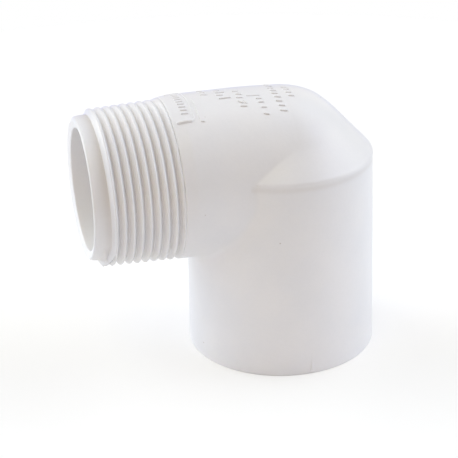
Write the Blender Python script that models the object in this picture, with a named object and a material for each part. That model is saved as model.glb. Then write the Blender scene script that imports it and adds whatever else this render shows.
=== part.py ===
"""A 90 degree street elbow in white PVC: a tapered male pipe thread on one leg, a solvent-weld socket on the other.

Frame: metres, +Z up. The elbow stands on its socket mouth, z = 0. The socket's axis is vertical, the thread's axis is
horizontal and points to -X, and both lie in the plane y = 0. The origin is under the middle of the bounding box.
Helpers below work in millimetres about the socket's axis, and SHIFT_X carries that axis to its place in the frame.
"""

import math

import bmesh
import bpy
from mathutils import Matrix, Vector

MM = 0.001

# Socket leg (turned about the vertical axis)
HUB_R_MOUTH = 25.56  # outside radius at the mouth
HUB_R_RIM = 24.93  # outside radius where the straight wall ends, after the mould's draft
HUB_RIM_Z = 55.4  # height of that rim
HUB_EDGE = 0.5  # chamfer round the mouth, outside
SOCKET_R_MOUTH = 42.545 / 2  # 1-1/4 in slip socket, entrance
SOCKET_R_STOP = 42.037 / 2  # and at the pipe stop
SOCKET_DEPTH = 27.0
SOCKET_LEAD = 0.8  # chamfer that guides the pipe in
WATERWAY_R = 16.5

# Threaded leg (turned about the horizontal axis)
LEG_Z = 50.5  # height of its axis
NECK_R = 21.96
END_X = -54.3  # threaded end's face
THREAD_STOP_X = -31.2  # where the thread meets the neck
NECK_FULL_X = -28.4  # where the neck reaches its full radius
NECK_LIP = 0.15  # the neck starts this much proud of the crests
PITCH = 25.4 / 11.5
TAPER = 1 / 32  # on the radius: 1 in 16 on the diameter
CREST_R_END = 20.52  # crest radius in the plane of the end face
THREAD_DEPTH = 1.26
CREST_FLAT = 0.25
ROOT_FLAT = 0.50
CREST_PHASE_X = -47.6  # a crest's position on the +Y side
LEAD_R_FACE = 17.7
LEAD_R_ROUND = 18.65
LEAD_R_TOP = 19.6
LEAD_X = -50.9
BORE_R_MOUTH = 16.14
BORE_R_INNER = 15.9
BORE_EDGE = 0.5

# Heel: the neck ends in a ball of its own radius, a cone rises from the hub's rim into that ball, and a flat at
# 45 degrees trims both
SHOULDER_SLOPE = 0.93  # radius lost per unit of height
SHOULDER_TOP_Z = 64.0  # the cone ends inside the ball
HEEL_SUM = 80.7  # x + z on the flat

SEGMENTS = 72
THREAD_SEGMENTS = 48
SHIFT_X = -(END_X + HUB_R_MOUTH) / 2

Z_AXIS = Vector((0, 0, 1))
LEG_DIRECTION = Vector((-1, 0, 0))


def clear_scene():
    for obj in list(bpy.data.objects):
        bpy.data.objects.remove(obj, do_unlink=True)


def link(name, bm):
    bmesh.ops.recalc_face_normals(bm, faces=bm.faces)
    mesh = bpy.data.meshes.new(name)
    bm.to_mesh(mesh)
    bm.free()
    obj = bpy.data.objects.new(name, mesh)
    bpy.context.scene.collection.objects.link(obj)
    return obj


def turned(name, profile, about_x=False, segments=SEGMENTS):
    """A closed solid turned from (radius, height) points that start and end on the axis."""
    bm = bmesh.new()
    rings = []
    for radius, height in profile:
        if radius < 1e-9:
            rings.append([bm.verts.new((0, 0, height))])
            continue
        rings.append(
            [
                bm.verts.new(
                    (
                        radius * math.cos(2 * math.pi * k / segments),
                        radius * math.sin(2 * math.pi * k / segments),
                        height,
                    )
                )
                for k in range(segments)
            ]
        )
    for low, high in zip(rings, rings[1:]):
        for k in range(segments):
            n = (k + 1) % segments
            if len(low) == 1:
                bm.faces.new((low[0], high[n], high[k]))
            elif len(high) == 1:
                bm.faces.new((low[k], low[n], high[0]))
            else:
                bm.faces.new((low[k], low[n], high[n], high[k]))
    if about_x:
        # the profile's height runs along +X, and the axis lies at the threaded leg's height
        turn = Matrix.Rotation(math.radians(90), 4, "Y")
        bmesh.ops.transform(bm, matrix=Matrix.Translation((0, 0, LEG_Z)) @ turn, verts=bm.verts)
    bmesh.ops.transform(
        bm,
        matrix=Matrix.Scale(MM, 4) @ Matrix.Translation((SHIFT_X, 0, 0)),
        verts=bm.verts,
    )
    return link(name, bm)


def arc(radius, centre, steps):
    """Points of a quarter circle, from its full radius to the axis, the first left out."""
    points = [
        (radius * math.cos(math.pi / 2 * k / steps), centre + radius * math.sin(math.pi / 2 * k / steps))
        for k in range(1, steps)
    ]
    return [*points, (0, centre + radius)]


def crest_radius(x):
    return CREST_R_END + TAPER * (x - END_X)


def thread_core():
    """A tapered screw body, longer than the thread at both ends. Its rows follow the right-hand helix."""
    flank = (PITCH - CREST_FLAT - ROOT_FLAT) / 2
    stations = (
        (-CREST_FLAT / 2, 0),
        (CREST_FLAT / 2, 0),
        (CREST_FLAT / 2 + flank, THREAD_DEPTH),
        (CREST_FLAT / 2 + flank + ROOT_FLAT, THREAD_DEPTH),
    )
    per_turn = len(stations)
    first = math.floor((END_X - 3 - CREST_PHASE_X) / PITCH)
    last = math.ceil((THREAD_STOP_X + 2.5 - CREST_PHASE_X) / PITCH)
    rows = (last - first) * per_turn
    bm = bmesh.new()
    grid = []
    for row in range(rows + 1):
        turn, station = divmod(row, per_turn)
        offset, depth = stations[station]
        line = []
        for k in range(THREAD_SEGMENTS):
            angle = 2 * math.pi * k / THREAD_SEGMENTS
            x = CREST_PHASE_X + PITCH * (first + turn + k / THREAD_SEGMENTS) + offset
            radius = crest_radius(x) - depth
            line.append(
                bm.verts.new((x, radius * math.cos(angle), LEG_Z + radius * math.sin(angle)))
            )
        grid.append(line)

    def at(row, k):
        return grid[row][k] if k < THREAD_SEGMENTS else grid[row + per_turn][0]

    for row in range(rows - per_turn):
        for k in range(THREAD_SEGMENTS):
            bm.faces.new((at(row, k), at(row, k + 1), at(row + 1, k + 1), at(row + 1, k)))
    # the last turn's rows stop at the seam, so each end closes with a fan round its own rim
    start = [at(0, k) for k in range(THREAD_SEGMENTS)] + [grid[r][0] for r in range(per_turn, 0, -1)]
    final = rows - per_turn
    end = [at(final, k) for k in range(THREAD_SEGMENTS)] + [
        grid[r][0] for r in range(final + per_turn, final, -1)
    ]
    for rim in (start, end):
        middle = bm.verts.new(
            (sum(v.co.x for v in rim) / len(rim), 0, LEG_Z)
        )
        for a, b in zip(rim, rim[1:] + rim[:1]):
            bm.faces.new((a, b, middle))
    loose = [v for v in bm.verts if not v.link_faces]
    bmesh.ops.delete(bm, geom=loose, context="VERTS")
    bmesh.ops.transform(
        bm,
        matrix=Matrix.Scale(MM, 4) @ Matrix.Translation((SHIFT_X, 0, 0)),
        verts=bm.verts,
    )
    return link("thread_core", bm)


def slab(name, size, centre, rotation):
    bm = bmesh.new()
    bmesh.ops.create_cube(bm, size=1)
    bmesh.ops.transform(
        bm,
        matrix=Matrix.Scale(MM, 4)
        @ Matrix.Translation((centre[0] + SHIFT_X, centre[1], centre[2]))
        @ rotation
        @ Matrix.Diagonal((*size, 1)),
        verts=bm.verts,
    )
    return link(name, bm)


def boolean(target, helper, operation):
    modifier = target.modifiers.new(f"{operation.lower()} {helper.name}", "BOOLEAN")
    modifier.operation = operation
    modifier.solver = "EXACT"
    modifier.object = helper
    helper.hide_render = True
    helper.display_type = "WIRE"
    return modifier


def pvc():
    material = bpy.data.materials.new("white_pvc")
    material.use_nodes = True
    shader = material.node_tree.nodes["Principled BSDF"]
    shader.inputs["Base Color"].default_value = (0.80, 0.80, 0.81, 1)
    shader.inputs["Roughness"].default_value = 0.38
    shader.inputs["Metallic"].default_value = 0.0
    material.diffuse_color = (0.80, 0.80, 0.81, 1)
    return material


def build():
    clear_scene()

    body = turned(
        "elbow_body",
        [
            (0, 0),
            (HUB_R_MOUTH - HUB_EDGE, 0),
            (HUB_R_MOUTH, HUB_EDGE),
            (HUB_R_RIM, HUB_RIM_Z),
            (HUB_R_RIM - SHOULDER_SLOPE * (SHOULDER_TOP_Z - HUB_RIM_Z), SHOULDER_TOP_Z),
            (0, SHOULDER_TOP_Z),
        ],
    )

    neck = turned(
        "neck_core",
        [
            (0, THREAD_STOP_X),
            (crest_radius(THREAD_STOP_X) + NECK_LIP, THREAD_STOP_X),
            (NECK_R, NECK_FULL_X),
            (NECK_R, 0),
            *arc(NECK_R, 0, 9),
        ],
        about_x=True,
    )

    thread = thread_core()
    envelope = turned(
        "thread_envelope",
        [
            (0, END_X),
            (LEAD_R_FACE, END_X),
            (LEAD_R_ROUND, END_X + 0.8),
            (LEAD_R_TOP, LEAD_X),
            (crest_radius(LEAD_X) + 0.4, LEAD_X + 1.0),
            (NECK_R, THREAD_STOP_X + 1.2),
            (0, THREAD_STOP_X + 1.2),
        ],
        about_x=True,
    )
    boolean(thread, envelope, "INTERSECT")

    heel_flat = slab(
        "heel_flat",
        (80, 80, 30),
        (HEEL_SUM / 2 + 15 / math.sqrt(2), 0, HEEL_SUM / 2 + 15 / math.sqrt(2)),
        Matrix.Rotation(math.radians(45), 4, "Y"),
    )
    boolean(body, neck, "UNION")
    boolean(body, heel_flat, "DIFFERENCE")
    boolean(body, thread, "UNION")

    socket = turned(
        "socket_core",
        [
            (0, -2),
            (SOCKET_R_MOUTH + SOCKET_LEAD, -2),
            (SOCKET_R_MOUTH + SOCKET_LEAD, 0),
            (SOCKET_R_MOUTH, SOCKET_LEAD),
            (SOCKET_R_STOP, SOCKET_DEPTH),
            (WATERWAY_R, SOCKET_DEPTH),
            (WATERWAY_R, LEG_Z - 1.5),
            (WATERWAY_R / 2, LEG_Z + 9),
            (0, LEG_Z + 9),
        ],
    )
    bore = turned(
        "bore_core",
        [
            (0, END_X - 2),
            (BORE_R_MOUTH + BORE_EDGE, END_X - 2),
            (BORE_R_MOUTH + BORE_EDGE, END_X),
            (BORE_R_MOUTH, END_X + BORE_EDGE),
            (BORE_R_INNER, 0),
            *arc(BORE_R_INNER, 0, 6),
        ],
        about_x=True,
    )
    boolean(body, socket, "DIFFERENCE")
    boolean(body, bore, "DIFFERENCE")

    body.data.materials.append(pvc())
    body.data.shade_smooth()
    body.data.set_sharp_from_angle(angle=math.radians(30))


build()
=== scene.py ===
import math

import bpy
import numpy as np
from mathutils import Matrix


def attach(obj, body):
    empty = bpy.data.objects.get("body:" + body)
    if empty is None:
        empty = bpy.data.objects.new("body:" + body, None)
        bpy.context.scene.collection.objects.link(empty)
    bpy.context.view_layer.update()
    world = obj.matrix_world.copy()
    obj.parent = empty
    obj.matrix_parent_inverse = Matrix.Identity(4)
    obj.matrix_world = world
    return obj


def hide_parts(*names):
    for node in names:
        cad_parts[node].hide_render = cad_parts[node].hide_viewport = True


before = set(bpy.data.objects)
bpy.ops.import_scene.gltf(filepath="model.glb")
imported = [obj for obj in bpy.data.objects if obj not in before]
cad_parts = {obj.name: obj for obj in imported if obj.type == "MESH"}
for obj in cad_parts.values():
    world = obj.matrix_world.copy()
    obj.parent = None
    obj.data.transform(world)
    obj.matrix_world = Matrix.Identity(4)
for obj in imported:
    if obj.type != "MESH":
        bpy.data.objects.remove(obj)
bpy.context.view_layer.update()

# ---------------------------------------------------------------------------
# Sizes, in millimetres, in the socket's own frame: the socket's axis is x = 0,
# the mouth's plane is z = 0 and the threaded leg points along -X.
# ---------------------------------------------------------------------------
HUB_R_MOUTH, HUB_R_RIM, RIM_Z = 25.56, 24.93, 54.90
LEG_Z = 50.5                      # height of the threaded leg's axis
NECK_R = 21.96
RIM_SOFT, MOUTH_SOFT = 0.45, 0.5  # how far the moulded edges are eased
RIM_DIP = 0.07                    # the wall is this much lower just under the rim
HEEL_X, HEEL_TILT, HEEL_SOFT = 30.26, 44.8, 1.45  # the bevelled heel crosses the leg's height at HEEL_X
NECK_DROP_X, NECK_DROP = -13.4, 0.00354  # the neck's top runs down a little before it reaches the ball
BALL_STRETCH = 1.014
FILLET_R = (2.6, 1.5)             # where the neck runs into the hub, and into the shoulder
CONE_N = (0.7510, 0.6603)         # outward normal of the shoulder, in (radius, z)
CONE_TOP = 66.0                   # above this the shoulder is the ball

SOCKET_R_MOUTH, SOCKET_R_STOP, SOCKET_DEPTH, SOCKET_LEAD = 21.2725, 21.0185, 27.0, 0.8
WATERWAY_R = 16.5
BORE_R_END, BORE_R_INNER = 16.14, 15.9

END_X = -54.3                     # the threaded leg's end face
NOSE_X = -53.40                   # ahead of this the nose rounds over into the lip
LIP = ((-54.02, 18.12), (-54.005, 17.90), (-53.60, 16.42), (-53.53, 16.27), (-53.43, 16.18), (-53.28, 16.13))
CUT_X = -30.1                     # the finely cut threaded end joins the body here
THREAD_STOP_X, NECK_FULL_X = -31.15, -27.9
UNDER_RELIEF = 0.34               # the neck's underside is leaner than its top by twice this
WASH_PHI, WASH_WIDTH = 66.0, 22.0 # degrees round the leg where the thread's grooves are shallow
PITCH = 25.4 / 11.5
CREST_R_END, TAPER = 20.52, 1 / 32
THREAD_DEPTH, CREST_FLAT, ROOT_FLAT = 1.26, 0.38, 0.42
CREST_PHASE_X = -47.6
RUN_UP = 1.05                     # length of the plain cut from the nose to the first crest
THREAD_START = -512.0             # degrees along the helix, counted from CREST_PHASE_X, where the thread fades in


def soft_max(a, b, k):
    h = np.clip(k - np.abs(a - b), 0, None)
    return np.maximum(a, b) + h * h / (4 * k)


def soft_min(a, b, k):
    k = np.maximum(k, 1e-4)
    h = np.clip(k - np.abs(a - b), 0, None)
    return np.minimum(a, b) - h * h / (4 * k)


def ease(t):
    t = np.clip(t, 0, 1)
    return t * t * (3 - 2 * t)


# ---------------------------------------------------------------------------
# The body, as a distance field
# ---------------------------------------------------------------------------
def washed(phi):
    """1 where the thread's grooves are shallowest, falling to 0 round the rest of the leg."""
    away = (np.degrees(phi) - WASH_PHI + 180) % 360 - 180
    return np.exp(-((away / WASH_WIDTH) ** 2))


def stop_x(phi):
    """Where the thread ends, which is not quite square to the leg."""
    return THREAD_STOP_X + 0.28 * (1 - np.cos(phi - math.radians(WASH_PHI)))


def neck_radius(x, phi):
    """The neck's outside radius, with the bevel behind the thread."""
    relief = UNDER_RELIEF * (1 - ease((x + 17) / 17)) * (1 - np.sin(phi))
    full = NECK_R - relief
    start = crest_radius(THREAD_STOP_X)
    t = (x - stop_x(phi)) / (NECK_FULL_X - THREAD_STOP_X)
    bevel = start + (full - start) * (soft_ramp(t))
    wash = np.interp(x, [-32.6, -32.3, -31.7, -31.2, -30.1, -29.0, -27.3], [21.05, 21.19, 21.38, 21.51, 21.74, 21.85, 21.95])
    wash = np.minimum(wash, full)
    return bevel + washed(phi) * (np.maximum(wash, bevel) - bevel)


def soft_ramp(t):
    """A straight rise from 0 to 1 with eased ends."""
    t = np.clip(t, -0.1, 1.1)
    low, high = np.clip(t + 0.1, 0, 0.2), np.clip(1.1 - t, 0, 0.2)
    return np.where(t < 0.1, low * low / 0.4, np.where(t > 0.9, 1 - high * high / 0.4, t))


def crest_radius(x):
    return CREST_R_END + (x - END_X) * TAPER


def outside(x, y, z):
    w = z - LEG_Z
    rho = np.sqrt(x * x + y * y) + 1e-9
    tube = np.sqrt(y * y + w * w) + 1e-9
    hub = rho - (HUB_R_MOUTH + (HUB_R_RIM - HUB_R_MOUTH) * z / 55.4)
    under = RIM_Z - 0.1 - z
    hub = hub + RIM_DIP * ease(under / 2.0) * (1 - ease((under - 2.0) / 16))
    cone = CONE_N[0] * (rho - HUB_R_RIM) + CONE_N[1] * (z - RIM_Z)
    socket_leg = soft_max(soft_max(hub, cone, RIM_SOFT), z - CONE_TOP, 3.0)
    away = np.where(x < 0, tube, np.sqrt((BALL_STRETCH * x) ** 2 + tube * tube))
    drop = NECK_DROP * np.clip(np.minimum(x, 0) - NECK_DROP_X, 0, None) ** 2 * (np.clip(w, 0, None) / away) ** 4
    neck = away - np.where(x < 0, neck_radius(x, np.arctan2(w, y)), NECK_R) + drop
    # the fillet keeps one radius, so it fades out where the two surfaces run into each other
    upper = cone > hub
    hub_n = (np.where(upper, CONE_N[0], 1.0), np.where(upper, CONE_N[1], 0.0))
    nx, ny, nz = hub_n[0] * x / rho, hub_n[0] * y / rho, hub_n[1]
    mx = np.where(x < 0, 0.0, x / (away + 1e-9))
    turn = 1 - (nx * mx + ny * y / away + nz * w / away)
    fillet = FILLET_R[0] + (FILLET_R[1] - FILLET_R[0]) * ease((cone - hub + 0.6) / 1.2)
    body = soft_min(socket_leg, neck, 1.1 * fillet * np.clip(turn, 0.1, 1.2))
    tilt = math.radians(HEEL_TILT)
    heel = math.cos(tilt) * (x - HEEL_X) + math.sin(tilt) * (z - LEG_Z)
    body = soft_max(body, heel, HEEL_SOFT)
    return soft_max(body, -z, MOUTH_SOFT)


def inside(x, y, z):
    w = z - LEG_Z
    rho = np.sqrt(x * x + y * y)
    tube = np.sqrt(y * y + w * w)
    bore_r = BORE_R_INNER + (BORE_R_END - BORE_R_INNER) * np.clip((x - CUT_X) / (END_X - CUT_X), 0, 1)
    bore = np.where(x < 0, tube - bore_r, np.sqrt(x * x + tube * tube) - BORE_R_INNER)
    way = np.where(z < LEG_Z, rho, np.sqrt(rho * rho + w * w)) - WATERWAY_R
    socket_r = SOCKET_R_MOUTH + (SOCKET_R_STOP - SOCKET_R_MOUTH) * z / SOCKET_DEPTH
    socket = soft_max(rho - socket_r, z - SOCKET_DEPTH, 0.3)
    lead = (rho - (SOCKET_R_MOUTH + SOCKET_LEAD) + z) / math.sqrt(2)
    socket = soft_min(socket, np.maximum(lead, z - 2), 0.4)
    return soft_min(soft_min(bore, way, 2.0), socket, 0.4)


def body_field(x, y, z):
    return soft_max(outside(x, y, z), -inside(x, y, z), 0.35)


def gradient(field, p, e=0.02):
    g = np.empty_like(p)
    for i in range(3):
        hi, lo = p.copy(), p.copy()
        hi[:, i] += e
        lo[:, i] -= e
        g[:, i] = (field(*hi.T) - field(*lo.T)) / (2 * e)
    return g


def settle(field, p, rounds=3):
    """Moves each point onto the surface along the field's gradient."""
    for _ in range(rounds):
        g = gradient(field, p)
        p = p - (field(*p.T) / np.maximum((g * g).sum(1), 0.2))[:, None] * g
    return p


def surface_net(field, xs, ys, zs):
    """A mesh of quads round field < 0, one vertex in each grid cell that the surface crosses."""
    axes = (xs, ys, zs)
    shape = tuple(len(a) for a in axes)
    values = np.empty(shape)
    for i in range(0, shape[0], 24):
        values[i : i + 24] = field(*np.meshgrid(xs[i : i + 24], ys, zs, indexing="ij"))
    solid = values < 0
    cells = tuple(n - 1 for n in shape)
    count = np.zeros(cells, np.int8)
    for a in (0, 1):
        for b in (0, 1):
            for c in (0, 1):
                count += solid[a : a + cells[0], b : b + cells[1], c : c + cells[2]]
    mixed = (count > 0) & (count < 8)
    index = np.full(cells, -1, np.int64)
    where = np.argwhere(mixed)
    index[mixed] = np.arange(len(where))
    total, hits = np.zeros((len(where), 3)), np.zeros(len(where))
    quads = []
    for d in range(3):
        e, f = (d + 1) % 3, (d + 2) % 3
        # every grid edge along d that the surface crosses
        lo = [slice(None)] * 3
        hi = [slice(None)] * 3
        lo[d], hi[d] = slice(0, shape[d] - 1), slice(1, shape[d])
        crossing = np.argwhere(solid[tuple(lo)] != solid[tuple(hi)])
        step = np.zeros(3, int)
        step[d] = 1
        v0 = values[tuple(crossing.T)]
        v1 = values[tuple((crossing + step).T)]
        t = v0 / (v0 - v1)
        point = np.stack([axes[i][crossing[:, i]] for i in range(3)], 1)
        point[:, d] += t * (axes[d][crossing[:, d] + 1] - axes[d][crossing[:, d]])
        corner = []
        for oe, of in ((0, 0), (-1, 0), (-1, -1), (0, -1)):
            cell = crossing.copy()
            cell[:, e] += oe
            cell[:, f] += of
            ok = ((cell >= 0) & (cell < cells)).all(1)
            found = np.full(len(cell), -1)
            found[ok] = index[tuple(cell[ok].T)]
            corner.append(found)
            np.add.at(total, found[found >= 0], point[found >= 0])
            np.add.at(hits, found[found >= 0], 1)
        quad = np.stack(corner, 1)
        whole = (quad >= 0).all(1)
        quad, start_in = quad[whole], (v0 < 0)[whole]
        quads.append(np.where(start_in[:, None], quad, quad[:, ::-1]))
    return total / hits[:, None], np.concatenate(quads)


def border(quads):
    """The mesh's open edges as (from, to) pairs, running with the faces."""
    a = quads.reshape(-1)
    b = np.roll(quads, -1, axis=1).reshape(-1)
    key = np.minimum(a, b) * (quads.max() + 1) + np.maximum(a, b)
    _, first, times = np.unique(key, return_index=True, return_counts=True)
    only = first[times == 1]
    return a[only], b[only]


def relax(field, p, quads, fixed, rounds=3):
    """Evens the quads out along the surface."""
    a = quads.reshape(-1)
    b = np.roll(quads, -1, axis=1).reshape(-1)
    for _ in range(rounds):
        total, hits = np.zeros_like(p), np.zeros(len(p))
        np.add.at(total, a, p[b])
        np.add.at(total, b, p[a])
        np.add.at(hits, a, 1)
        np.add.at(hits, b, 1)
        moved = p + 0.5 * (total / np.maximum(hits, 1)[:, None] - p)
        moved[fixed] = p[fixed]
        p = settle(field, moved, 1)
        p[fixed] = moved[fixed]
    return p


def spread(lo, hi, step, fine=()):
    """Grid lines from lo to hi: `step` apart, and closer within each (from, to, step) of fine."""
    at, lines = lo, [lo]
    while at < hi:
        here = min([step] + [s for a, b, s in fine if a - 1e-6 <= at < b])
        at += here
        lines.append(at)
    return np.array(lines)


# ---------------------------------------------------------------------------
# The threaded end, as rings of vertices round the leg's axis
# ---------------------------------------------------------------------------
AROUND = 300


def thread_height(x, phi):
    """Depth of the thread below its crest line. phi is measured from +Y towards +Z."""
    u = x - CREST_PHASE_X - PITCH * phi / (2 * math.pi)
    u = np.abs(u - PITCH * np.round(u / PITCH))
    total = np.zeros_like(u)
    weights = 0.0
    for shift in np.linspace(-2, 2, 9):  # a small blur rounds the crests and the roots
        weight = math.exp(-shift * shift / 2)
        s = np.abs(u + shift * 0.085)
        s = np.where(s > PITCH / 2, PITCH - s, s)
        flank = (PITCH - CREST_FLAT - ROOT_FLAT) / 2
        total += weight * np.clip((s - CREST_FLAT / 2) / flank, 0, 1)
        weights += weight
    return THREAD_DEPTH * total / weights


def first_crest(phi):
    """Where the first full crest lies. The thread starts at THREAD_START and gains one pitch in a turn."""
    since = (np.degrees(phi) - THREAD_START) % 360
    fade = ease(since / 40)
    return CREST_PHASE_X + PITCH * ((THREAD_START + since) / 360 + 1 - fade)


def nose_radius(x, phi):
    """The plain nose ahead of the thread. Under the first crest it gives way to the roots."""
    root = crest_radius(x) - THREAD_DEPTH
    nose = np.interp(x, [-53.4, -53.1, -52.4, -51.0], [18.60, 18.70, 18.76, 18.84]) + 0.45 * washed(phi)
    t = ease((x - first_crest(phi) + 0.9) / 0.9)
    return nose + (root - nose) * t


def run_up(x, phi):
    """A plain cut leads from the nose up to the first crest. 0 on the nose, 1 at the crest."""
    t = np.clip((x - first_crest(phi) + RUN_UP) / (RUN_UP - 0.15), 0, 1)
    return t * (1.15 - 0.15 * t) * np.where(x < first_crest(phi), 1, 0)


def leg_radius(x, phi):
    crest, base = crest_radius(x), nose_radius(x, phi)
    # the grooves are shallow on one side
    wash = 0.72 * washed(phi) * ease((x + 50.6) / 1.4)
    base = base + (crest - base) * wash
    # the first run of thread fades in as it climbs out of the nose
    turn = np.round((x - CREST_PHASE_X) / PITCH - phi / (2 * math.pi))
    along = np.degrees(phi) + 360 * turn
    fade = ease((along - THREAD_START) / 40)
    ridge = np.maximum(fade * (1 - thread_height(x, phi) / THREAD_DEPTH), run_up(x, phi))
    thread = base + ridge * (crest - base)
    wash = np.interp(x, [-33.0, -32.3, -31.7, -31.2], [20.9, 21.19, 21.38, 21.51])
    thread = thread + washed(phi) * np.clip(wash - thread, 0, None) * ease((x + 33.6) / 1.0)
    groove = 0.20 * np.exp(-(((x - stop_x(phi)) / 0.11) ** 2))
    # the mould's parting line shows as a hair of flash on both sides of the thread
    flash = 0.045 * np.exp(-((np.sin(phi) * 20.5 / 0.13) ** 2)) * ease((x + 53.4) / 0.5)
    return np.where(x < stop_x(phi), thread + flash, neck_radius(x, phi)) - groove


def shade_in(x, r, phi):
    """Painted shade in the thread's grooves and at the inner end of the nose, the same all round, from 0 to 1."""
    depth = np.clip((crest_radius(x) - r) / THREAD_DEPTH, 0, 1)
    start = first_crest(phi) - RUN_UP
    groove = 0.42 * depth**4 * (x > start + 1.0) * (1 - ease((x - stop_x(phi) + 0.9) / 0.7))
    nose = 0.5 * ease((x + 53.2) / (start + 53.2)) * (1 - ease((x - start + 0.08) / 0.16))
    return np.clip(groove + nose, 0, 1)


def shade_under_rim(x, y, z):
    """Painted shade just under the hub's rim, the same all round the hub."""
    rho = np.sqrt(x * x + y * y)
    band = np.exp(-(((RIM_Z - 1.35 - z) / 0.8) ** 2))
    return 0.27 * band * (np.abs(rho - HUB_R_RIM) < 0.6)


def leg_rings():
    """Rings of vertices from the cut out to the lip and back along the bore, with each vertex's shade_in."""
    phi = np.arange(AROUND) * 2 * math.pi / AROUND
    lines = spread(NOSE_X, CUT_X, 0.11)
    lines[-1] = CUT_X
    rings, shades = [], []
    for x in lines[::-1]:
        x = np.full(AROUND, x)
        r = leg_radius(x, phi)
        rings.append((x, r))
        shades.append(shade_in(x, r, phi))
    top = rings[-1][1]
    (tip_x, tip_r), bore_edge = LIP[0], LIP[-1]
    for t in np.linspace(0, 1, 13)[1:]:
        along, across = math.sin(t * math.pi / 2) ** 1.1, math.cos(t * math.pi / 2) ** 1.1
        rings.append((np.full(AROUND, NOSE_X + (tip_x - NOSE_X) * along), tip_r + (top - tip_r) * across))
    for (x0, r0), (x1, r1) in zip(LIP, LIP[1:]):
        steps = 5 if r0 - r1 > 0.5 else 1
        for t in np.arange(1, steps + 1) / steps:
            rings.append((np.full(AROUND, x0 + (x1 - x0) * t), np.full(AROUND, r0 + (r1 - r0) * t)))
    for x in np.linspace(bore_edge[0], CUT_X, 36)[1:]:
        r = BORE_R_INNER + (BORE_R_END - BORE_R_INNER) * (x - CUT_X) / (END_X - CUT_X)
        rings.append((np.full(AROUND, x), np.full(AROUND, r)))
    x = np.array([r[0] for r in rings])
    r = np.array([r[1] for r in rings])
    shade = np.zeros_like(x)
    shade[: len(shades)] = shades
    return np.stack([x, r * np.cos(phi), LEG_Z + r * np.sin(phi)], -1), shade


def ring_quads(rows, cols, first=0):
    i = np.arange(rows - 1)[:, None]
    j = np.arange(cols)[None, :]
    k = (j + 1) % cols
    a, b, c, d = i * cols + j, i * cols + k, (i + 1) * cols + k, (i + 1) * cols + j
    return first + np.stack([a, b, c, d], -1).reshape(-1, 4)


def zipper(p, one, two):
    """Triangles between two closed loops round the leg's axis, both sorted by angle."""
    def angles(loop):
        q = p[loop]
        return np.arctan2(q[:, 2] - LEG_Z, q[:, 1]) % (2 * math.pi)

    one = one[np.argsort(angles(one))]
    two = two[np.argsort(angles(two))]
    a1, a2 = angles(one), angles(two)
    i = j = 0
    faces = []
    while i < len(one) or j < len(two):
        next1 = a1[i + 1] if i + 1 < len(one) else a1[0] + 2 * math.pi if i < len(one) else 1e9
        next2 = a2[j + 1] if j + 1 < len(two) else a2[0] + 2 * math.pi if j < len(two) else 1e9
        if i < len(one) and (next1 <= next2 or j >= len(two)):
            faces.append((one[i % len(one)], one[(i + 1) % len(one)], two[j % len(two)]))
            i += 1
        else:
            faces.append((one[i % len(one)], two[(j + 1) % len(two)], two[j % len(two)]))
            j += 1
    return faces


def face_normals(p, faces):
    """Vertex normals averaged from the faces by area."""
    n = np.zeros_like(p)
    for f in faces:
        f = np.asarray(f)
        if f.shape[1] == 4:
            c = np.cross(p[f[:, 2]] - p[f[:, 0]], p[f[:, 3]] - p[f[:, 1]])
        else:
            c = np.cross(p[f[:, 1]] - p[f[:, 0]], p[f[:, 2]] - p[f[:, 0]])
        for i in range(f.shape[1]):
            np.add.at(n, f[:, i], c)
    return n / np.maximum(np.linalg.norm(n, axis=1), 1e-12)[:, None]


def build_body():
    xs = spread(CUT_X, 26.6, 0.45)
    ys = spread(-26.5, 26.6, 0.45)
    zs = spread(-0.7, 73.4, 0.45, [(-0.7, 1.3, 0.22), (26.4, 27.4, 0.3), (51.8, 56.4, 0.22)])
    p, quads = surface_net(body_field, xs, ys, zs)
    p = settle(body_field, p)
    a, b = border(quads)
    edge = np.unique(np.concatenate([a, b]))
    # the open edge lies on a circle just inside the cut
    w = p[edge, 2] - LEG_Z
    tube = np.sqrt(p[edge, 1] ** 2 + w**2)
    outer = tube > 19
    x = np.full(len(edge), CUT_X + 0.3)
    r = np.where(outer, neck_radius(x, np.arctan2(w, p[edge, 1])), BORE_R_INNER)
    p[edge] = np.stack([x, p[edge, 1] * r / tube, LEG_Z + w * r / tube], 1)
    p = relax(body_field, p, quads, edge)
    normals = gradient(body_field, p)
    normals /= np.linalg.norm(normals, axis=1)[:, None]

    rings, shade = leg_rings()
    rows, cols = rings.shape[:2]
    ring_p = rings.reshape(-1, 3)
    ring_q = ring_quads(rows, cols)[:, ::-1]
    ring_n = face_normals(ring_p, [ring_q])
    # the loops that meet the body take the body's own normals
    for row in (0, rows - 1):
        at = np.arange(cols) + row * cols
        g = gradient(body_field, ring_p[at])
        ring_n[at] = g / np.linalg.norm(g, axis=1)[:, None]

    first = len(p)
    points = np.concatenate([p, ring_p])
    all_n = np.concatenate([normals, ring_n])
    outer_loop, inner_loop = edge[outer], edge[~outer]
    strips = zipper(points, outer_loop, first + np.arange(cols)) + zipper(
        points, inner_loop, first + np.arange(cols) + (rows - 1) * cols
    )
    strips = np.array(strips)
    # turn each strip triangle to agree with its normals
    c = np.cross(points[strips[:, 1]] - points[strips[:, 0]], points[strips[:, 2]] - points[strips[:, 0]])
    wrong = (c * all_n[strips[:, 0]]).sum(1) < 0
    strips[wrong] = strips[wrong][:, ::-1]
    return points, [quads, ring_q + first, strips], all_n, np.concatenate([shade_under_rim(*p.T), shade.reshape(-1)])


# ---------------------------------------------------------------------------
# Raised marks: plain bars and a frame where the moulder's text would be
# ---------------------------------------------------------------------------
PROFILE = ((1.0, -0.3), (0.9, 0.2), (0.74, 0.68), (0.5, 0.94), (0.22, 1.0))  # share of the half width, share of the height


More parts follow.
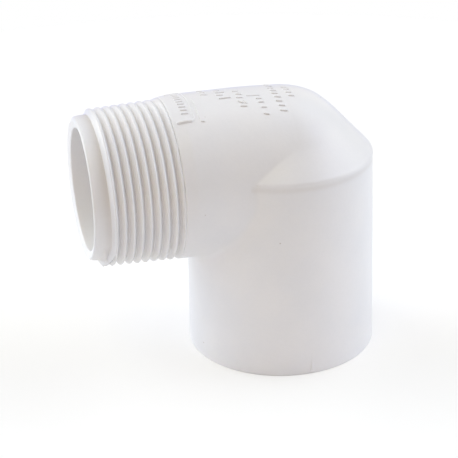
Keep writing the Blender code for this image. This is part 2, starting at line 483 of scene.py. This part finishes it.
def resample(path, step=0.16):
    path = np.asarray(path, float)
    along = np.concatenate([[0], np.cumsum(np.linalg.norm(np.diff(path, axis=0), axis=1))])
    count = max(3, int(math.ceil(along[-1] / step)) + 1)
    at = np.linspace(0, along[-1], count)
    return np.stack([np.interp(at, along, path[:, i]) for i in (0, 1)], 1)


def sides(path):
    run = np.gradient(path, axis=0)
    run = run / np.linalg.norm(run, axis=1)[:, None]
    return run, np.stack([-run[:, 1], run[:, 0]], 1)


def bar(path, half, height):
    """Rings of (x, s, height) round an open path with rounded ends."""
    path = resample(path)
    run, side = sides(path)
    caps = np.linspace(0, math.pi, 9)[1:-1]
    levels = []
    for share, high in (*PROFILE, (0.0, 1.0)):
        d = share * half
        end = [path[-1] + d * (math.cos(a) * side[-1] + math.sin(a) * run[-1]) for a in caps]
        start = [path[0] + d * (-math.cos(a) * side[0] - math.sin(a) * run[0]) for a in caps]
        loop = np.concatenate([path + d * side, end, (path - d * side)[::-1], start])
        levels.append(np.column_stack([loop, np.full(len(loop), high * height)]))
    return np.array(levels)


def rounded_box(x0, s0, x1, s1, corner):
    """A path along the far end, one side and the near end of a rectangle, with two rounded corners."""
    path = [(x0, s0)]
    for cs, turn in ((s0 + corner, -90), (s1 - corner, 0)):
        for a in np.radians(np.linspace(turn, turn + 90, 7)):
            path.append((x1 - corner + corner * math.cos(a), cs + corner * math.sin(a)))
    path.append((x0, s1))
    return path


DEG = NECK_R * math.pi / 180  # millimetres round the neck in one degree
# (x, degrees from the top towards -Y) of both ends, half width, height
BARS = (
    ((-28.2, -9.5), (-26.7, -9.2), 0.20, 0.16), ((-28.2, -5.8), (-26.7, -5.5), 0.20, 0.16),
    ((-28.2, -2.1), (-26.7, -1.8), 0.20, 0.18), ((-28.2, 1.6), (-26.7, 1.9), 0.22, 0.22),
    ((-28.1, 5.3), (-26.6, 5.6), 0.22, 0.22), ((-28.1, 9.0), (-26.6, 9.3), 0.22, 0.24),
    ((-28.1, 12.7), (-26.6, 13.0), 0.22, 0.24), ((-28.0, 16.4), (-26.5, 16.7), 0.22, 0.24),
    ((-28.0, 20.1), (-26.5, 20.4), 0.22, 0.22),
    ((-29.6, 27.5), (-26.3, 27.7), 0.50, 0.42),
    ((-23.9, 4.0), (-23.9, 26.0), 0.16, 0.14), ((-23.5, 29.0), (-23.0, 29.4), 0.27, 0.30),
    ((-21.0, -12.0), (-19.8, -11.4), 0.25, 0.24), ((-20.6, -7.0), (-19.5, -6.4), 0.25, 0.24),
    ((-20.9, -1.4), (-19.6, -0.6), 0.25, 0.24),
    ((-17.0, -7.5), (-15.6, -7.0), 0.24, 0.24), ((-16.9, -2.4), (-14.8, -1.8), 0.25, 0.26),
    ((-17.0, 2.4), (-15.6, 3.2), 0.25, 0.26), ((-16.8, 8.0), (-14.0, 8.0), 0.28, 0.30),
    ((-12.4, -1.0), (-11.2, -0.4), 0.24, 0.24), ((-12.0, 4.2), (-10.8, 5.0), 0.25, 0.26),
    ((-12.3, 9.2), (-11.0, 9.8), 0.25, 0.28), ((-12.4, 13.8), (-11.6, 16.0), 0.26, 0.30),
    ((-11.0, 14.0), (-10.6, 16.8), 0.26, 0.30), ((-12.2, 19.4), (-10.9, 20.0), 0.26, 0.28),
    ((-9.5, 8.0), (-6.3, 8.6), 0.20, 0.17),
    ((-7.4, 12.6), (-6.2, 13.0), 0.24, 0.24), ((-7.2, 17.0), (-6.2, 17.2), 0.25, 0.26),
    ((-6.9, 28.6), (-5.9, 29.4), 0.28, 0.32),
    ((-2.6, -13.0), (-1.5, -12.6), 0.24, 0.22), ((-2.5, -8.0), (-1.2, -7.4), 0.24, 0.24),
    ((-2.6, -3.0), (-1.4, -2.4), 0.25, 0.24), ((-2.4, 2.0), (-1.1, 2.8), 0.25, 0.26),
    ((-2.5, 7.0), (-1.3, 7.6), 0.26, 0.28), ((-2.3, 12.0), (-1.0, 12.8), 0.26, 0.30),
    ((-2.4, 17.0), (-1.2, 17.8), 0.27, 0.30), ((-2.2, 22.0), (-0.9, 22.6), 0.27, 0.30),
    ((-2.3, 27.0), (-0.8, 27.8), 0.27, 0.30), ((-6.9, 22.4), (-5.9, 22.8), 0.25, 0.26),
    ((1.2, -4.0), (2.4, -3.4), 0.24, 0.22), ((1.3, 1.0), (2.5, 1.8), 0.25, 0.24),
    ((1.4, 6.4), (2.6, 7.0), 0.25, 0.26), ((1.6, 11.6), (2.8, 12.0), 0.27, 0.30),
)


def on_surface(levels, place):
    """Lays rings of (x, s, height) on the body and returns points and quads that face out."""
    flat = levels.reshape(-1, 3)
    foot = settle(body_field, place(flat[:, 0], flat[:, 1]), 4)
    out = gradient(body_field, foot)
    out /= np.linalg.norm(out, axis=1)[:, None]
    points = foot + out * flat[:, 2:]
    quads = ring_quads(levels.shape[0], levels.shape[1])
    c = np.cross(points[quads[:, 2]] - points[quads[:, 0]], points[quads[:, 3]] - points[quads[:, 1]])
    if (c * out[quads[:, 0]]).sum() < 0:
        quads = quads[:, ::-1]
    return points, quads


def on_neck(x, s):
    a = s / NECK_R
    return np.stack([x, -NECK_R * np.sin(a), LEG_Z + NECK_R * np.cos(a)], 1)


def on_hub(s, z):
    a = s / HUB_R_MOUTH
    return np.stack([HUB_R_MOUTH * np.sin(a), -HUB_R_MOUTH * np.cos(a), z], 1)


def gate_mark():
    """The trimmed gate at the mouth: a thin wedge up the wall on the mould's parting plane."""
    at = np.linspace(0, 1, 40)
    z = 0.45 + 5.4 * at
    s = 0.95 + 0.10 * at
    half = 0.10 + 0.52 * (1 - at) ** 1.1
    height = (0.04 + 0.24 * (1 - at)) * ease((z - 0.35) / 0.4)
    section = ((-1.0, -0.3), (-0.86, 0.35), (-0.66, 0.9), (-0.4, 0.72), (0.0, 0.58), (0.45, 0.80), (0.72, 1.0), (0.9, 0.35), (1.0, -0.3))
    return np.array([np.column_stack([s + share * half, z, high * height - 0.02]) for share, high in section])


def add_marks(points, faces, normals, shade):
    pieces = []
    for (x0, a0), (x1, a1), half, height in BARS:
        pieces.append(on_surface(bar([(x0, a0 * DEG), (x1, a1 * DEG)], 1.12 * half, 1.15 * height), on_neck))
    pieces.append(on_surface(bar(rounded_box(-29.3, -16 * DEG, -25.2, 27.5 * DEG, 1.0), 0.26, 0.16), on_neck))
    first = len(points)
    for p, q in pieces:
        n = face_normals(p, [q])
        points = np.concatenate([points, p])
        normals = np.concatenate([normals, n])
        faces.append(q + first)
        first += len(p)
    levels = gate_mark()
    p, _ = on_surface(levels, on_hub)
    rows, cols = levels.shape[:2]
    i, j = np.meshgrid(np.arange(rows - 1), np.arange(cols - 1), indexing="ij")
    q = np.stack([i * cols + j, i * cols + j + 1, (i + 1) * cols + j + 1, (i + 1) * cols + j], -1).reshape(-1, 4)
    c = np.cross(p[q[:, 2]] - p[q[:, 0]], p[q[:, 3]] - p[q[:, 1]])
    if c[:, 1].sum() > 0:
        q = q[:, ::-1]
    points = np.concatenate([points, p])
    normals = np.concatenate([normals, face_normals(p, [q])])
    faces.append(q + first)
    shade = np.concatenate([shade, np.zeros(len(points) - len(shade))])
    return points, faces, normals, shade


SHIFT_X = 14.37  # the row frame's origin is under the middle of the CAD's box


def to_mesh(name, points, faces, normals, shade):
    mesh = bpy.data.meshes.new(name)
    loops = np.concatenate([f.reshape(-1) for f in faces]).astype(np.int32)
    sizes = np.concatenate([np.full(len(f), f.shape[1]) for f in faces])
    starts = np.concatenate([[0], np.cumsum(sizes)[:-1]]).astype(np.int32)
    mesh.vertices.add(len(points))
    mesh.vertices.foreach_set("co", ((points + (SHIFT_X, 0, 0)) / 1000).astype(np.float32).reshape(-1))
    mesh.loops.add(len(loops))
    mesh.loops.foreach_set("vertex_index", loops)
    mesh.polygons.add(len(sizes))
    mesh.polygons.foreach_set("loop_start", starts)
    mesh.update(calc_edges=True)
    mesh.validate()
    mesh.polygons.foreach_set("use_smooth", np.ones(len(mesh.polygons), bool))
    mesh.normals_split_custom_set_from_vertices(normals.astype(np.float32))
    kept = mesh.attributes.new("shade_in", "FLOAT", "POINT")
    kept.data.foreach_set("value", shade.astype(np.float32))
    return mesh


elbow = bpy.data.objects.new("elbow", to_mesh("elbow", *add_marks(*build_body())))
bpy.context.scene.collection.objects.link(elbow)
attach(elbow, "root")
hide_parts("elbow_body")


# ---------------------------------------------------------------------------
# Materials
# ---------------------------------------------------------------------------
def white_pvc():
    """Moulded white PVC: a satin skin with faint clouding, an uneven gloss and a fine orange peel."""
    m = bpy.data.materials.new("white_pvc")
    m.use_nodes = True
    tree = m.node_tree
    link = tree.links.new
    shader = tree.nodes["Principled BSDF"]
    where = tree.nodes.new("ShaderNodeTexCoord").outputs["Object"]

    def noise(scale, detail, rough=0.5):
        n = tree.nodes.new("ShaderNodeTexNoise")
        link(where, n.inputs["Vector"])
        n.inputs["Scale"].default_value = scale
        n.inputs["Detail"].default_value = detail
        n.inputs["Roughness"].default_value = rough
        return n.outputs["Fac"]

    def spread_to(value, low, high, to_low, to_high):
        n = tree.nodes.new("ShaderNodeMapRange")
        link(value, n.inputs["Value"])
        for name, v in (("From Min", low), ("From Max", high), ("To Min", to_low), ("To Max", to_high)):
            n.inputs[name].default_value = v
        return n.outputs["Result"]

    def blend(kind, share, a, b):
        n = tree.nodes.new("ShaderNodeMix")
        n.data_type = "RGBA"
        n.blend_type = kind
        for value, socket in ((share, n.inputs["Factor"]), (a, n.inputs[6]), (b, n.inputs[7])):
            if isinstance(value, (float, tuple)):
                socket.default_value = value
            else:
                link(value, socket)
        return n.outputs[2]

    # broad clouding between a cooler and a warmer white, then a fine grain
    cloud = spread_to(noise(70, 3.0), 0.36, 0.64, 0, 1)
    colour = blend("MIX", cloud, (0.804, 0.806, 0.820, 1), (0.832, 0.828, 0.832, 1))
    grain = spread_to(noise(1500, 2.0), 0.3, 0.7, 0, 1)
    colour = blend("MULTIPLY", 1.0, colour, blend("MIX", grain, (0.988, 0.988, 0.988, 1), (1.0, 1.0, 1.0, 1)))
    # painted shade, set against the photograph; it isn't a colour of the plastic
    held = tree.nodes.new("ShaderNodeAttribute")
    held.attribute_name = "shade_in"
    colour = blend("MULTIPLY", held.outputs["Fac"], colour, (0.80, 0.755, 0.70, 1))
    # a few tiny dark inclusions
    dot = tree.nodes.new("ShaderNodeTexVoronoi")
    link(where, dot.inputs["Vector"])
    dot.inputs["Scale"].default_value = 95
    fleck = spread_to(dot.outputs["Distance"], 0.012, 0.026, 0.75, 0)
    colour = blend("MIX", fleck, colour, (0.50, 0.46, 0.41, 1))
    link(colour, shader.inputs["Base Color"])

    gloss = spread_to(noise(260, 3.0, 0.6), 0.3, 0.7, 0.31, 0.41)
    link(gloss, shader.inputs["Roughness"])

    peel = tree.nodes.new("ShaderNodeBump")
    peel.inputs["Strength"].default_value = 1.0
    peel.inputs["Distance"].default_value = 0.00002
    link(noise(800, 3.0), peel.inputs["Height"])
    flow = tree.nodes.new("ShaderNodeBump")
    flow.inputs["Strength"].default_value = 1.0
    flow.inputs["Distance"].default_value = 0.00010
    link(noise(120, 2.0), flow.inputs["Height"])
    link(flow.outputs["Normal"], peel.inputs["Normal"])
    link(peel.outputs["Normal"], shader.inputs["Normal"])
    return m


elbow.data.materials.append(white_pvc())


# ---------------------------------------------------------------------------
# Studio
# ---------------------------------------------------------------------------
def floor():
    mesh = bpy.data.meshes.new("floor")
    n, r = 128, 0.30
    ring = [(r * math.cos(2 * math.pi * i / n), r * math.sin(2 * math.pi * i / n), 0) for i in range(n)]
    mesh.from_pydata(ring, [], [list(range(n))])
    o = bpy.data.objects.new("floor", mesh)
    bpy.context.scene.collection.objects.link(o)
    m = bpy.data.materials.new("floor_white")
    m.use_nodes = True
    tree = m.node_tree
    s = tree.nodes["Principled BSDF"]
    s.inputs["Base Color"].default_value = (0.9, 0.9, 0.9, 1)
    s.inputs["Roughness"].default_value = 0.8
    s.inputs["Specular IOR Level"].default_value = 0.1
    # seen straight on, the paper is lifted close to white, as in the photograph
    seen = tree.nodes.new("ShaderNodeBsdfDiffuse")
    seen.inputs["Color"].default_value = (0.486, 0.486, 0.486, 1)
    lift = tree.nodes.new("ShaderNodeEmission")
    lift.inputs["Color"].default_value = (0.500, 0.500, 0.495, 1)
    both = tree.nodes.new("ShaderNodeAddShader")
    path = tree.nodes.new("ShaderNodeLightPath")
    mix = tree.nodes.new("ShaderNodeMixShader")
    link = tree.links.new
    link(seen.outputs[0], both.inputs[0])
    link(lift.outputs[0], both.inputs[1])
    link(path.outputs["Is Camera Ray"], mix.inputs[0])
    link(s.outputs[0], mix.inputs[1])
    link(both.outputs[0], mix.inputs[2])
    link(mix.outputs[0], tree.nodes["Material Output"].inputs["Surface"])
    mesh.materials.append(m)
    return o


floor()

# Soft panels round the object: (azimuth, elevation, tightness, colour). Azimuth 0 is the -Y side and 90 the +X side.
# They were fitted to the photograph's shading and then adjusted, and aren't a guess at its real lamps.
PANELS = (
    (85, 17, 14.8, (3.76, 3.86, 3.82)),
    (67, 44, 25.0, (1.97, 2.20, 3.00)),
    (-126, 41, 12.4, (3.71, 3.89, 4.14)),
    (-96, 6, 25.0, (0.60, 1.08, 2.05)),
    (117, 52, 25.0, (2.48, 2.61, 2.87)),
    (176, -30, 10.7, (0.00, 0.42, 2.11)),
    (-26, 23, 25.0, (2.14, 1.88, 2.40)),
    (140, 10, 25.0, (1.42, 1.35, 1.18)),
    (-130, 6, 25.0, (3.35, 3.62, 3.52)),
    (-172, 9, 6.7, (0.33, 0.15, 0.00)),
    (-40, 62, 20.0, (2.15, 1.95, 1.10)),
    (-47, -4, 10.2, (0.74, 0.50, 0.00)),
)


def studio():
    """A white surround whose light comes from broad soft panels at the sides, above and behind."""
    world = bpy.data.worlds.new("studio")
    world.use_nodes = True
    tree = world.node_tree
    tree.nodes.clear()
    link = tree.links.new
    where = tree.nodes.new("ShaderNodeTexCoord").outputs["Generated"]
    total = None
    for azimuth, elevation, tight, colour in PANELS:
        a, e = math.radians(azimuth), math.radians(elevation)
        dot = tree.nodes.new("ShaderNodeVectorMath")
        dot.operation = "DOT_PRODUCT"
        link(where, dot.inputs[0])
        dot.inputs[1].default_value = (math.sin(a) * math.cos(e), -math.cos(a) * math.cos(e), math.sin(e))
        fall = tree.nodes.new("ShaderNodeMath")
        fall.operation = "MULTIPLY_ADD"
        link(dot.outputs["Value"], fall.inputs[0])
        fall.inputs[1].default_value, fall.inputs[2].default_value = tight, -tight
        lobe = tree.nodes.new("ShaderNodeMath")
        lobe.operation = "EXPONENT"
        link(fall.outputs[0], lobe.inputs[0])
        tint = tree.nodes.new("ShaderNodeVectorMath")
        tint.operation = "SCALE"
        tint.inputs[0].default_value = colour
        link(lobe.outputs[0], tint.inputs["Scale"])
        if total is None:
            total = tint.outputs[0]
        else:
            add = tree.nodes.new("ShaderNodeVectorMath")
            add.operation = "ADD"
            link(total, add.inputs[0])
            link(tint.outputs[0], add.inputs[1])
            total = add.outputs[0]
    lit = tree.nodes.new("ShaderNodeBackground")
    link(total, lit.inputs["Color"])
    plain = tree.nodes.new("ShaderNodeBackground")
    plain.inputs["Color"].default_value = (1, 1, 1, 1)
    path = tree.nodes.new("ShaderNodeLightPath")
    mix = tree.nodes.new("ShaderNodeMixShader")
    link(path.outputs["Is Camera Ray"], mix.inputs[0])
    link(lit.outputs[0], mix.inputs[1])
    link(plain.outputs[0], mix.inputs[2])
    out = tree.nodes.new("ShaderNodeOutputWorld")
    link(mix.outputs[0], out.inputs["Surface"])
    bpy.context.scene.world = world


studio()

# camera
AZ, EL, ROLL = math.radians(-14.73), math.radians(24.97), math.radians(-1.38)
DIST, TX, TY, FOCAL_PX = 429.27, 13.688, 7.7525, 1587.05
back = np.array([math.sin(AZ) * math.cos(EL), -math.cos(AZ) * math.cos(EL), math.sin(EL)])
right = np.array([math.cos(AZ), math.sin(AZ), 0.0])
up = np.cross(back, right)
right, up = math.cos(ROLL) * right + math.sin(ROLL) * up, -math.sin(ROLL) * right + math.cos(ROLL) * up
place = np.array([0, 0, 40.0]) + back * DIST - TX * right - TY * up
camera = bpy.data.objects.new("camera", bpy.data.cameras.new("camera"))
camera.data.sensor_width = 36
camera.data.lens = FOCAL_PX * 36 / 458
camera.data.clip_start = 0.01
bpy.context.scene.collection.objects.link(camera)
turn = Matrix([[*row] for row in np.stack([right, up, back], 1).tolist()]).to_4x4()
turn.translation = ((place + (SHIFT_X, 0, 0)) / 1000).tolist()
camera.matrix_world = turn
bpy.context.scene.camera = camera
bpy.context.scene.view_settings.view_transform = "Standard"
